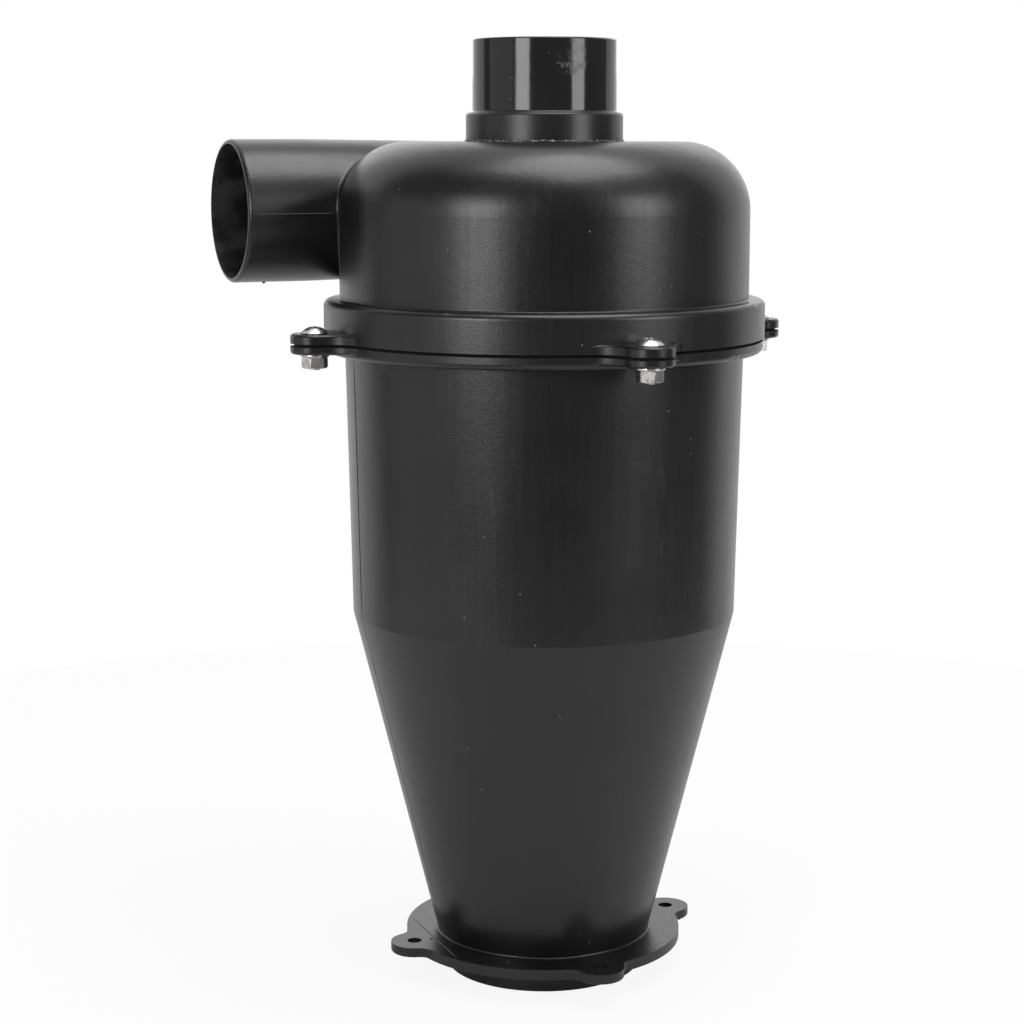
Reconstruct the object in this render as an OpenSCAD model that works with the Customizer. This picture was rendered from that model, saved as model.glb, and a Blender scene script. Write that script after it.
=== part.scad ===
// Cyclone dust separator: a domed lid bolted over a rubber seal to a barrel with a cone.
// Millimetres, +Z up. The origin is on the cyclone's axis, at the open lower end of the spigot.
// The inlet tube runs along -X, tangent to the drum on its +Y side.

/* [Lid] */
// Outer diameter of the lid's drum
drum_d = 144.8; // [136:0.2:152]
// Height of the lid from the ring's ledge to the flat top
drum_h = 54.8; // [52:0.2:80]
// Radius of the shoulder between the drum and the flat top
shoulder_r = 24; // [12:0.5:28]
// Wall of the lid
lid_wall = 2.2; // [1.6:0.1:3]
// Wall of the ring that hangs over the joint
ring_wall = 2.9; // [2:0.1:4]
// Wall of the ledge that closes the ring above the seal
ledge_wall = 2.8; // [2:0.1:4]
// Rounding of the ring's upper edge
ring_edge_r = 2.2; // [0.5:0.1:3.8]
// Fillet between the ledge and the drum
ledge_fillet_r = 0.6; // [0.4:0.1:2]

/* [Inlet tube] */
// Outer diameter of the inlet tube's straight hose seat
inlet_od = 50.6; // [42:0.2:52]
// Outer diameter of the inlet tube where it ends inside the drum
inlet_root_od = 48.4; // [40:0.2:50]
// Length of the straight hose seat behind the mouth
inlet_seat = 28; // [20:0.5:36]
// Wall of the inlet tube
inlet_wall = 2.2; // [1.6:0.1:4]
// Wall that is left at the inlet's mouth, where the bore opens into a lead-in
mouth_wall = 1.6; // [1.5:0.1:2]
// Length of the lead-in behind the mouth
mouth_run = 12; // [4:0.5:18]
// Rounding of the mouth's outer edge
mouth_edge_r = 1.3; // [0.4:0.1:1.4]
// Distance from the cyclone's axis to the inlet's mouth
inlet_reach = 101.2; // [90:0.2:140]
// How far the inlet tube lies inside the drum's side and the flat top
inlet_sink = 0.3; // [0.2:0.1:1.5]

/* [Outlet tube] */
// Outer diameter of the outlet tube
outlet_od = 50.6; // [36:0.2:56]
// Wall of the outlet tube
outlet_wall = 2; // [1.6:0.1:4]
// Height of the outlet tube above its collar
outlet_h = 25.2; // [15:0.5:60]
// Width of the collar's step round the outlet tube
collar_step = 2.3; // [1.5:0.1:4]
// Height of the collar on the lid
collar_h = 10; // [6:0.5:20]
// Rounding of the collar's upper edge
collar_edge_r = 1.4; // [0.3:0.1:1.4]
// Fillet at the foot of the outlet tube, on the collar
tube_fillet_r = 0.8; // [0.3:0.1:0.9]
// Length of the vortex finder below the lid's flat top
finder_depth = 85; // [60:1:110]
// Gap between the finder and its hole in the lid
finder_clear = 0.2; // [0.1:0.05:0.4]

/* [Joint] */
// Gap on each side of the barrel's tongue in the ring's groove
tongue_clear = 0.3; // [0.2:0.05:0.5]
// Wall of the tongue that stands on the barrel's flange
tongue_wall = 2.2; // [2:0.1:4]
// Height of the tongue
tongue_h = 7.8; // [4:0.5:14]
// Height of the rubber seal on top of the tongue
seal_h = 2.6; // [1.5:0.1:4]
// Thickness of the barrel's flange
flange_t = 5.3; // [3.6:0.1:6]
// How far the flange stands back from the ring
flange_inset = 0.6; // [0:0.1:1.6]
// Rounding of the flange's lower edge
flange_edge_r = 2; // [0.4:0.1:2.8]

/* [Screws] */
// Number of screw lugs round the joint
screw_count = 4; // [3:1:6]
// Distance of each screw from the ring's outer face
screw_outset = 7.5; // [6:0.1:12]
// Nominal diameter of the screws
screw_d = 5; // [4:0.5:6]
// Length of the screws below the head
screw_len = 12.4; // [12:0.1:20]
// Diameter of the screw's head
head_d = 9.8; // [8:0.1:12]
// Height of the screw's head
head_h = 2.5; // [2.3:0.1:4.5]
// Gap round the screw in its lugs
screw_clear = 0.25; // [0.2:0.05:0.5]
// Gap round the screw in the washer and the nut
thread_clear = 0.06; // [0.05:0.01:0.15]
// Outer diameter of the washers
washer_d = 10; // [9:0.1:13]
// Thickness of the washers
washer_t = 1; // [0.6:0.1:1.6]
// Width of the nuts across their flats
nut_flats = 8; // [7:0.5:10]
// Height of the nuts
nut_h = 4; // [3:0.1:5]

// Height of the groove that shows where the lid meets the barrel
seam_h = 1; // [0.2:0.05:1.1]
// Depth of that groove
seam_t = 1.4; // [0.3:0.05:1.5]

/* [Screw lugs] */
// Radius of the lugs' round ends
lug_r = 8.3; // [7:0.1:10]
// Thickness of the lid's lugs
lid_lug_t = 3.3; // [2.5:0.1:6]
// Thickness of the barrel's lugs
barrel_lug_t = 3.6; // [2.4:0.1:4.6]
// Radius of the hollow that blends a lug into the ring
lug_blend_r = 12; // [4:0.5:20]
// Rounding of the lugs' outer edges
lug_edge_r = 1.2; // [0.4:0.1:1.8]

/* [Barrel and cone] */
// How far the barrel's top stands back from the drum's outer face
barrel_inset = 1.55; // [0.6:0.05:4]
// How much the barrel's radius shrinks from the flange down to the cone
barrel_draft = 2.1; // [0:0.05:5]
// Height of the barrel from the cone to the joint
barrel_h = 98.7; // [60:0.1:160]
// Height of the cone
cone_h = 119.5; // [80:0.5:180]
// Outer diameter of the cone at the base plate
cone_low_d = 77.8; // [72:0.2:90]
// Wall of the barrel and the cone
barrel_wall = 2.5; // [1.8:0.1:3]
// Fillet between the flange and the barrel
barrel_fillet_r = 0.6; // [0.4:0.1:3]
// Fillet between the cone and the base plate
cone_fillet_r = 0.6; // [0.4:0.1:3]

/* [Base] */
// Diameter of the base plate
plate_d = 100.6; // [94:0.2:120]
// Thickness of the base plate
plate_t = 3.7; // [3:0.1:6]
// Outer diameter of the spigot that enters the bin
spigot_d = 70.6; // [60:0.2:74]
// Height of the spigot below the base plate
spigot_h = 9.8; // [4:0.1:20]
// Wall of the spigot
spigot_wall = 2.5; // [1.8:0.1:4]
// Number of base lugs
base_count = 4; // [3:1:6]
// Distance of each base hole from the plate's edge
base_outset = 0.4; // [0:0.1:6]
// Diameter of the base holes
base_hole_d = 5.2; // [4:0.1:6.5]
// Radius of the base lugs' round ends
base_lug_r = 8.5; // [6:0.1:10]
// Radius of the hollow that blends a base lug into the plate
base_blend_r = 5.5; // [2:0.5:12]

/* [Hidden] */
$fn = 96;
over = 1; // how far a cutter runs past the face it opens
blend_sink = 0.05; // how far a blend's foot lies under the skin that it meets
lug_root = 2; // how far a lug runs into the wall that carries it
edge_r = 0.6; // rounding of the outlet tube's rim
skirt_gap = 0.5; // gap between the drum's lower end and the flange
recess_w = 1.3; // width of the cross recess in a screw's head
recess_l = 5.2; // length of the cross recess
recess_t = 1.8; // depth of the cross recess
head_side = 0.2; // share of the head's height that is its straight side
nut_turn = -5; // how far the nuts stopped short of pointing a corner outwards

drum_r = drum_d / 2;
lid_bore_r = drum_r - lid_wall;
groove_r = drum_r + 2 * tongue_clear + tongue_wall;
ring_r = groove_r + ring_wall;
flange_r = ring_r - flange_inset;
tongue_in_r = drum_r + tongue_clear;
tongue_out_r = tongue_in_r + tongue_wall;

plate_z = spigot_h;
cone_z = plate_z + plate_t;
barrel_z = cone_z + cone_h;
joint_z = barrel_z + barrel_h;
seal_z = joint_z + tongue_h;
groove_z = seal_z + seal_h;
ledge_z = groove_z + ledge_wall;
top_z = ledge_z + drum_h;
collar_z = top_z + collar_h;
rim_z = collar_z + outlet_h;

barrel_top_r = drum_r - barrel_inset;
barrel_low_r = barrel_top_r - barrel_draft;
cone_low_r = cone_low_d / 2;
plate_r = plate_d / 2;
spigot_r = spigot_d / 2;
spigot_bore_r = spigot_r - spigot_wall;
// Slopes of the barrel's and the cone's sides, in degrees from the vertical
barrel_slope = atan(barrel_draft / barrel_h);
cone_slope = atan((barrel_low_r - cone_low_r) / cone_h);
flange_low_z = joint_z - flange_t;
barrel_at_flange_r = barrel_top_r - flange_t * tan(barrel_slope);

inlet_r = inlet_od / 2;
inlet_root_r = inlet_root_od / 2;
// A tube slimmer than the shoulder moves inwards until the shoulder still covers its end
inlet_cover = inlet_sink + max(0, shoulder_r - inlet_root_r) * (1 - sqrt(0.5));
inlet_y = drum_r - inlet_root_r - inlet_cover;
inlet_z = top_z - inlet_root_r - inlet_cover;

outlet_r = outlet_od / 2;
outlet_bore_r = outlet_r - outlet_wall;
collar_r = outlet_r + collar_step;

screw_r = screw_d / 2;
screw_circle_r = ring_r + screw_outset;
base_circle_r = plate_r + base_outset;
washer_z = joint_z - barrel_lug_t - washer_t;
nut_z = washer_z - nut_h;

screw_nodes = [for (i = [1:screw_count]) str("screw_", i)];
washer_nodes = [for (i = [1:screw_count]) str("washer_", i)];
nut_nodes = [for (i = [1:screw_count]) str("nut_", i)];

// The corner between two straight edges that leave p at the angles a and b, cut by an arc of radius r.
// It fills a hollow corner when it is added, and rounds an outer one when it is taken away.
module corner(p, a, b, r) {
    half = abs(a - b) / 2;
    run = r / tan(half);
    mid = (a + b) / 2;
    centre = p + r / sin(half) * [cos(mid), sin(mid)];
    difference() {
        polygon([p, p + run * [cos(a), sin(a)], centre, p + run * [cos(b), sin(b)]]);
        translate(centre) circle(r);
    }
}

// The angle between the sides b and c of a triangle whose third side is a
function angle_between(a, b, c) = acos((b ^ 2 + c ^ 2 - a ^ 2) / (2 * b * c));

// Runs its children with $turn and $blend set for a lug that grows from a disc of radius body_r:
// the blend's centre, and the direction in which it lies from the disc's centre
module with_blend(body_r, circle_r, end_r, blend_r) {
    $from_body = body_r - blend_sink + blend_r;
    $from_end = end_r - blend_sink + blend_r;
    $turn = angle_between($from_end, circle_r, $from_body);
    $blend = $from_body * [cos($turn), sin($turn)];
    children();
}

// One side of a lug: what lies between the disc, the lug's round end and the blend
module lug_side(circle_r, blend_r) {
    difference() {
        polygon([[0, 0], [circle_r, 0], $blend]);
        translate($blend) circle(blend_r);
    }
}

// Half section of what rounds the edge at p of a plate that lies towards -out from p. The arc stands
// blend_sink proud of both faces, so that it crosses them at an angle where a true one would only touch.
module edge_section(p, out, r) {
    centre = p - (r - blend_sink) * out;
    low = [min(centre.x, p.x + over * out.x), min(centre.y, p.y + over * out.y)];
    difference() {
        translate(low) square(r - blend_sink + over);
        translate(centre) circle(r);
    }
}

// What rounds a lug's edge at height z: side is 1 on its upper face, and -1 on its lower one
module lug_edge(circle_r, end_r, blend_r, z, side) {
    end_turn = 180 - angle_between($from_body, circle_r, $from_end);
    translate([circle_r, 0, 0]) rotate([0, 0, -end_turn]) rotate_extrude(angle = 2 * end_turn)
        edge_section([end_r, z], [1, side], lug_edge_r);
    for (flip = [0, 1]) mirror([0, flip, 0]) translate($blend) rotate([0, 0, 180 + $turn])
        rotate_extrude(angle = end_turn - $turn)
            edge_section([blend_r, z], [-1, side], lug_edge_r);
}

// A plate in the outline of a lug, with its hole
module lug_plate(body_r, circle_r, end_r, blend_r, hole_r, t) {
    linear_extrude(t) difference() {
        union() {
            translate([circle_r, 0]) circle(end_r);
            lug_side(circle_r, blend_r);
            mirror([0, 1]) lug_side(circle_r, blend_r);
        }
        circle(body_r - lug_root);
        translate([circle_r, 0]) circle(hole_r);
    }
}

// A row of lugs round a disc, each with a hole, as plates of thickness t with one edge rounded. Above
// the height t a lug goes on as a slimmer plate, step smaller all round, for the height step_h.
module lugs(count, body_r, circle_r, end_r, blend_r, hole_r, t, edge_z, side, step = 0, step_h = 0) {
    for (i = [0:count - 1]) rotate(i * 360 / count) with_blend(body_r, circle_r, end_r, blend_r) {
        difference() {
            lug_plate(body_r, circle_r, end_r, blend_r, hole_r, t);
            lug_edge(circle_r, end_r, blend_r, edge_z, side);
        }
        if (step > 0) translate([0, 0, t - over])
            lug_plate(body_r - step, circle_r, end_r - step, blend_r + step, hole_r, over + step_h);
    }
}

// Puts a fastener on each screw's axis in turn
module at_screw(i) {
    rotate((i - 1) * 360 / screw_count) translate([screw_circle_r, 0, 0]) children();
}

// Half section of the lid's outside: drum, shoulder, ledge and ring, without its hollow
module lid_outside() {
    shoulder_z = top_z - shoulder_r;
    difference() {
        union() {
            translate([0, joint_z]) square([ring_r, ledge_z - joint_z]);
            translate([0, ledge_z - over]) square([drum_r, drum_h + over]);
            corner([drum_r, ledge_z], 0, 90, ledge_fillet_r);
        }
        corner([ring_r, ledge_z], 180, 270, ring_edge_r);
        corner([drum_r, top_z], 180, 270, shoulder_r);
    }
}

// Half section of the lid's hollow: the swirl chamber, and the groove for the barrel's tongue
module lid_hollow() {
    inner_top_z = top_z - lid_wall;
    translate([0, joint_z - over]) difference() {
        square([lid_bore_r, inner_top_z - joint_z + over]);
        corner([lid_bore_r, inner_top_z - joint_z + over], 180, 270, max(0.5, shoulder_r - lid_wall));
    }
    translate([drum_r, joint_z - over]) square([groove_r - drum_r, groove_z - joint_z + over]);
    translate([0, joint_z - over]) square([groove_r, over + skirt_gap]);
}

// Half section of the inlet tube as a solid that is `inset` slimmer all round and ends at the height end_z
module inlet_section(inset, end_z) {
    polygon([[0, 0], [inlet_root_r - inset, 0], [inlet_r - inset, inlet_reach - inlet_seat],
        [inlet_r - inset, end_z], [0, end_z]]);
}

// Turns a half section into a tube that lies along the inlet's axis
module at_inlet() {
    translate([0, inlet_y, inlet_z]) rotate([0, -90, 0]) rotate_extrude() children();
}

module lid() {
    color([0.09, 0.09, 0.095]) difference() {
        union() {
            rotate_extrude() lid_outside();
            at_inlet() difference() {
                inlet_section(0, inlet_reach);
                corner([inlet_r, inlet_reach], 180, 270, mouth_edge_r);
            }
            translate([0, 0, joint_z]) lugs(screw_count, ring_r, screw_circle_r, lug_r, lug_blend_r,
                screw_r + screw_clear, lid_lug_t, lid_lug_t, 1);
        }
        rotate_extrude() lid_hollow();
        at_inlet() {
            inlet_section(inlet_wall, inlet_reach + over);
            polygon([[0, inlet_reach - mouth_run], [inlet_r - inlet_wall, inlet_reach - mouth_run],
                [inlet_r - mouth_wall, inlet_reach], [inlet_r - mouth_wall, inlet_reach + over],
                [0, inlet_reach + over]]);
        }
        translate([0, 0, top_z - lid_wall - over]) cylinder(r = outlet_r + finder_clear, h = lid_wall + 2 * over);
    }
}

module outlet_tube() {
    collar_round = min(collar_edge_r, 0.56 * collar_step);
    color([0.06, 0.06, 0.065]) rotate_extrude() difference() {
        union() {
            translate([outlet_bore_r, top_z - finder_depth])
                square([outlet_wall, rim_z - top_z + finder_depth]);
            translate([outlet_bore_r, top_z]) square([collar_r - outlet_bore_r, collar_h]);
            corner([outlet_r, collar_z], 0, 90, min(tube_fillet_r, 0.36 * collar_step));
        }
        corner([outlet_r, rim_z], 180, 270, edge_r);
        corner([collar_r, collar_z], 180, 270, collar_round);
    }
}

module seal_ring() {
    color([0.2, 0.2, 0.2]) translate([0, 0, seal_z]) difference() {
        cylinder(r = tongue_out_r, h = seal_h);
        translate([0, 0, -over]) cylinder(r = tongue_in_r, h = seal_h + 2 * over);
    }
}

// Half section of the cone body's outside: spigot, base plate, cone, barrel, flange and tongue
module body_outside() {
    difference() {
        union() {
            polygon([[0, 0], [spigot_r, 0], [spigot_r, plate_z + over], [0, plate_z + over]]);
            translate([0, plate_z]) square([plate_r, plate_t]);
            polygon([[0, cone_z - over], [cone_low_r - over * tan(cone_slope), cone_z - over],
                [barrel_low_r, barrel_z], [barrel_top_r, joint_z], [0, joint_z]]);
            corner([cone_low_r - blend_sink, cone_z], 0, 90 - cone_slope, cone_fillet_r);
            corner([barrel_at_flange_r - blend_sink, flange_low_z], 0, -90 - barrel_slope, barrel_fillet_r);
            translate([0, flange_low_z]) square([flange_r, flange_t]);
            translate([0, joint_z - over]) square([tongue_out_r, tongue_h + over]);
        }
        corner([flange_r, flange_low_z], 90, 180, flange_edge_r);
        translate([flange_r - seam_t, joint_z - seam_h]) square([seam_t + over, seam_h + over]);
    }
}

// Half section of the cone body's hollow, which narrows once more inside the base plate
module body_hollow() {
    cone_in_r = cone_low_r - barrel_wall;
    polygon([[0, -over], [spigot_bore_r, -over], [spigot_bore_r, plate_z], [cone_in_r, cone_z],
        [barrel_low_r - barrel_wall, barrel_z], [barrel_top_r - barrel_wall, joint_z],
        [tongue_in_r, joint_z], [tongue_in_r, seal_z + over], [0, seal_z + over]]);
}

module cone_body() {
    color([0.1, 0.1, 0.105]) difference() {
        union() {
            rotate_extrude() body_outside();
            translate([0, 0, joint_z - barrel_lug_t]) lugs(screw_count, flange_r, screw_circle_r, lug_r,
                lug_blend_r, screw_r + screw_clear, barrel_lug_t - seam_h, 0, -1, seam_t, seam_h);
            translate([0, 0, plate_z]) lugs(base_count, plate_r, base_circle_r, base_lug_r, base_blend_r,
                base_hole_d / 2, plate_t, 0, -1);
        }
        rotate_extrude() body_hollow();
        for (i = [0:base_count - 1]) rotate(i * 360 / base_count)
            translate([base_circle_r, 0, plate_z - over]) cylinder(d = base_hole_d, h = plate_t + 2 * over);
    }
}

// Half section of a screw from its tip up: shank and domed head
module screw_section() {
    side = head_h * head_side;
    dome_h = head_h - side;
    dome_r = (dome_h ^ 2 + (head_d / 2) ^ 2) / (2 * dome_h);
    square([screw_r, screw_len]);
    translate([0, screw_len]) square([head_d / 2, side]);
    translate([0, screw_len + side]) intersection() {
        square([head_d / 2, dome_h]);
        translate([0, dome_h - dome_r]) circle(dome_r);
    }
}

module screw(i) {
    color([0.75, 0.75, 0.76]) at_screw(i) translate([0, 0, joint_z + lid_lug_t - screw_len]) difference() {
        rotate_extrude() screw_section();
        for (turn = [0, 90]) rotate(45 + turn)
            translate([-recess_l / 2, -recess_w / 2, screw_len + head_h - recess_t])
                cube([recess_l, recess_w, recess_t + over]);
    }
}

module washer(i) {
    color([0.7, 0.7, 0.71]) at_screw(i) translate([0, 0, washer_z]) difference() {
        cylinder(d = washer_d, h = washer_t);
        translate([0, 0, -over]) cylinder(r = screw_r + thread_clear, h = washer_t + 2 * over);
    }
}

module nut(i) {
    color([0.72, 0.72, 0.73]) at_screw(i) translate([0, 0, nut_z]) difference() {
        rotate(nut_turn) cylinder(d = nut_flats / cos(30), h = nut_h, $fn = 6);
        translate([0, 0, -over]) cylinder(r = screw_r + thread_clear, h = nut_h + 2 * over);
    }
}

lid();
outlet_tube();
seal_ring();
cone_body();
for (i = [1:screw_count]) {
    screw(i);
    washer(i);
    nut(i);
}
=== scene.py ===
# %% [markdown]
# # A cyclone dust separator
# Two black plastic mouldings are screwed together: a lid with a side inlet, and a barrel that narrows
# to a bolted foot. This lesson dresses the solids of the CAD model. The large mouldings keep their CAD
# shapes and get new materials. The screws, washers and nuts are modelled again in more detail, and the
# fine marks that moulding leaves on plastic are added as thin shapes of their own.

# %% Load the frame
import math

import bmesh
import bpy
from mathutils import Matrix, Vector, noise


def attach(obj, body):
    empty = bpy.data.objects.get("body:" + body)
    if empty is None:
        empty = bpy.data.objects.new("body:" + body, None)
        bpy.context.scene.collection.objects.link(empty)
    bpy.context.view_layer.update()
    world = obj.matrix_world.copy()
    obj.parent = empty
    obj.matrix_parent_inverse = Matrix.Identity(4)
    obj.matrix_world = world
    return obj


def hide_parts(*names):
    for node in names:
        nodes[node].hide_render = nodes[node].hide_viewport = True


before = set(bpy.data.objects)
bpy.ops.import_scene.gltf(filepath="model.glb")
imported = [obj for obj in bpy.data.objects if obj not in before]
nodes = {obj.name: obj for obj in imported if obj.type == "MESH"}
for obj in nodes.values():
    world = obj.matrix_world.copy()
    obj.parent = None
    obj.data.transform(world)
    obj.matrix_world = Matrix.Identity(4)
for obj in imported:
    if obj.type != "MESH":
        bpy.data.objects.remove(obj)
scene = bpy.context.scene
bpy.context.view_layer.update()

# %% [markdown]
# The camera stands a little above the lid, to the front left, about 0.8 m away. Its place and lens
# were found by matching the edges of the lid, the foot and the tube with the photograph.

# %% Place the camera
CAMERA_PLACE = (-0.3293, -0.75581, 0.30231)
CAMERA_TILT = 80.73
CAMERA_TURN = -22.75

camera_data = bpy.data.cameras.new("camera")
camera_data.sensor_width = 36
camera_data.lens = 81.45
camera_data.clip_start = 0.01
camera = bpy.data.objects.new("camera", camera_data)
camera.location = CAMERA_PLACE
camera.rotation_euler = (math.radians(CAMERA_TILT), 0, math.radians(CAMERA_TURN))
scene.collection.objects.link(camera)
scene.camera = camera
scene.view_settings.view_transform = "Standard"
print("camera height:", camera.location.z)

# %% [markdown]
# Black plastic shows its shape only by what it mirrors, so the studio matters more than the colour.
# The photograph shows two upright strip lights, left and right of the camera, and one softbox overhead.
# A helper gives the way to a lamp from its turn to the camera's right and its rise, both in degrees.

# %% Point from the object to a lamp
MIDDLE = Vector((0, 0, 0.2))
TO_CAMERA = Vector((-0.387, -0.922, 0))
TO_RIGHT = Vector((0.922, -0.387, 0))


def way_to(turn, rise):
    turn = math.radians(turn)
    rise = math.radians(rise)
    level = TO_CAMERA * math.cos(turn) + TO_RIGHT * math.sin(turn)
    return level * math.cos(rise) + Vector((0, 0, math.sin(rise)))


print("overhead lamp lies towards:", [round(v, 2) for v in way_to(52, 78)])


# %% [markdown]
# A softbox is an area lamp. Its power is worked out from how bright its face should look, so that its
# size can change without making the reflections brighter. A weak fourth lamp hangs behind the object.

# %% Hang the lamps
def softbox(name, turn, rise, width, height, brightness, distance=1.6):
    lamp = bpy.data.lights.new(name, "AREA")
    lamp.shape = "RECTANGLE"
    lamp.size = width
    lamp.size_y = height
    lamp.energy = brightness * math.pi * width * height
    box = bpy.data.objects.new(name, lamp)
    box.location = MIDDLE + way_to(turn, rise) * distance
    box.rotation_euler = way_to(turn, rise).to_track_quat("Z", "Y").to_euler()
    box.visible_camera = False
    scene.collection.objects.link(box)
    print(name, "power in watts:", round(lamp.energy, 1))


softbox("left_strip", turn=-35.5, rise=11, width=0.62, height=0.74, brightness=9.0)
softbox("right_strip", turn=53.8, rise=13, width=0.6, height=0.74, brightness=7.2)
softbox("overhead_box", turn=52, rise=78, width=1.25, height=1.25, brightness=5.4)
softbox("back_box", turn=180, rise=24, width=2.0, height=1.4, brightness=0.6, distance=2.0)


# %% [markdown]
# A material is a tree of nodes. Three short helpers keep the building of such trees readable: one adds
# a node with its settings and inputs, one adds a maths node, and one remaps a value smoothly.

# %% Make nodes
def add(tree, kind, settings=None, **inputs):
    node = tree.nodes.new(kind)
    for key, value in (settings or {}).items():
        setattr(node, key, value)
    for key, value in inputs.items():
        socket = node.inputs[key.replace("_", " ")]
        if isinstance(value, bpy.types.NodeSocket):
            tree.links.new(value, socket)
        else:
            socket.default_value = value
    return node


def maths(tree, operation, first, second=0.0, third=0.0):
    node = tree.nodes.new("ShaderNodeMath")
    node.operation = operation
    for socket, value in zip(node.inputs, (first, second, third)):
        if isinstance(value, bpy.types.NodeSocket):
            tree.links.new(value, socket)
        else:
            socket.default_value = value
    return node.outputs[0]


def grade(tree, value, low, high, to_low=0.0, to_high=1.0):
    node = add(tree, "ShaderNodeMapRange", {"interpolation_type": "SMOOTHSTEP"})
    tree.links.new(value, node.inputs["Value"])
    node.inputs["From Min"].default_value = low
    node.inputs["From Max"].default_value = high
    node.inputs["To Min"].default_value = to_low
    node.inputs["To Max"].default_value = to_high
    return node.outputs["Result"]


print("node helpers are ready")

# %% [markdown]
# The room is a white studio. Where the camera looks past the object, and where metal or gloss mirrors
# the room, it is plain white. For soft light it is a little darker, so that the lamps do the modelling.

# %% Light the room
SOFT_LIGHT = 0.65

world = bpy.data.worlds.new("studio")
world.use_nodes = True
scene.world = world
room = world.node_tree
room.nodes.clear()
ray = add(room, "ShaderNodeLightPath")
seen = maths(room, "ADD", ray.outputs["Is Camera Ray"], ray.outputs["Is Glossy Ray"])
seen = maths(room, "ADD", seen, ray.outputs["Is Transmission Ray"])
seen = maths(room, "MINIMUM", seen, 1.0)
strength = maths(room, "MULTIPLY_ADD", seen, 1 - SOFT_LIGHT, SOFT_LIGHT)
white = add(room, "ShaderNodeBackground", Color=(1, 1, 1, 1), Strength=strength)
add(room, "ShaderNodeOutputWorld", Surface=white.outputs[0])
print("world nodes:", len(room.nodes))

# %% [markdown]
# The floor is a pale disc. Most of what the camera sees of it is plain white, and the rest is real
# reflected light, which keeps a soft shadow under the object. Reflections see more of the real light,
# so that the plastic mirrors a floor that is darker close to the object, as in the photograph.

# %% Lay the floor
FLOOR_RADIUS = 0.55
PLAIN_WHITE = 0.9
MIRRORED_WHITE = 0.14

bm = bmesh.new()
bmesh.ops.create_circle(bm, cap_ends=True, segments=128, radius=FLOOR_RADIUS)
floor_mesh = bpy.data.meshes.new("floor")
bm.to_mesh(floor_mesh)
bm.free()
floor = bpy.data.objects.new("floor", floor_mesh)
scene.collection.objects.link(floor)

floor_material = bpy.data.materials.new("pale_floor")
floor_material.use_nodes = True
tree = floor_material.node_tree
tree.nodes.clear()
paint = add(tree, "ShaderNodeBsdfDiffuse", Color=(0.56, 0.56, 0.56, 1))
glow = add(tree, "ShaderNodeEmission", Color=(1, 1, 1, 1), Strength=1.0)
ray = add(tree, "ShaderNodeLightPath")
seen = maths(tree, "ADD", ray.outputs["Is Camera Ray"], ray.outputs["Is Transmission Ray"])
seen = maths(tree, "MULTIPLY_ADD", ray.outputs["Is Glossy Ray"], MIRRORED_WHITE, seen)
share = maths(tree, "MULTIPLY", maths(tree, "MINIMUM", seen, 1.0), PLAIN_WHITE)
both = add(tree, "ShaderNodeMixShader", Fac=share)
tree.links.new(paint.outputs[0], both.inputs[1])
tree.links.new(glow.outputs[0], both.inputs[2])
add(tree, "ShaderNodeOutputMaterial", Surface=both.outputs[0])
floor_mesh.materials.append(floor_material)
print("floor faces:", len(floor_mesh.polygons))

# %% [markdown]
# All round the front of the object, outside the lamps, the photographer hung dark cloth, stood one
# pale board at the left and hung another high on the right. The black plastic mirrors them, which is
# why its front stays dark while its edges are light. Each is an upright sheet, bent round the object,
# that only reflections can see.


# %% Hang the cloth and the boards
def hang_sheet(name, start, end, low, high, distance, tone):
    bm = bmesh.new()
    foot = MIDDLE + way_to(start, 0) * distance
    foot.z = low
    lower = bm.verts.new(foot)
    foot.z = high
    upper = bm.verts.new(foot)
    side = bm.edges.new((lower, upper))
    bmesh.ops.spin(
        bm,
        geom=[lower, upper, side],
        cent=MIDDLE,
        axis=(0, 0, 1),
        angle=math.radians(end - start),
        steps=60,
    )
    mesh = bpy.data.meshes.new(name)
    bm.to_mesh(mesh)
    bm.free()
    material = bpy.data.materials.new(name)
    material.use_nodes = True
    tree = material.node_tree
    tree.nodes.clear()
    shine = add(tree, "ShaderNodeEmission", Color=(tone, tone, tone, 1), Strength=1.0)
    add(tree, "ShaderNodeOutputMaterial", Surface=shine.outputs[0])
    mesh.materials.append(material)
    sheet = bpy.data.objects.new(name, mesh)
    sheet.visible_camera = False
    sheet.visible_diffuse = False
    sheet.visible_shadow = False
    scene.collection.objects.link(sheet)
    print(name, "covers degrees:", start, end)


hang_sheet("dark_cloth", start=-112, end=114, low=-0.9, high=3.6, distance=2.1, tone=0.16)
hang_sheet("pale_board_left", start=-97, end=-52, low=-0.6, high=0.95, distance=1.9, tone=0.8)
hang_sheet("pale_board_right", start=26, end=76, low=1.0, high=2.7, distance=1.9, tone=0.75)


# %% [markdown]
# Moulded plastic is never perfectly smooth. The steel mould leaves a soft waviness a few millimetres
# wide, a very fine grain, and faint upright streaks where the part slid out of it, and the shine varies
# slowly from place to place. One node group makes all four, so that each plastic of the part can use
# it with its own values.

# %% Build the moulded grain
def group_tree(name, inputs, outputs):
    tree = bpy.data.node_groups.new(name, "ShaderNodeTree")
    for label, kind, value in inputs:
        socket = tree.interface.new_socket(label, in_out="INPUT", socket_type=kind)
        if value is not None:
            socket.default_value = value
    for label, kind in outputs:
        tree.interface.new_socket(label, in_out="OUTPUT", socket_type=kind)
    start = tree.nodes.new("NodeGroupInput")
    end = tree.nodes.new("NodeGroupOutput")
    return tree, start.outputs, end.inputs


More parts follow.
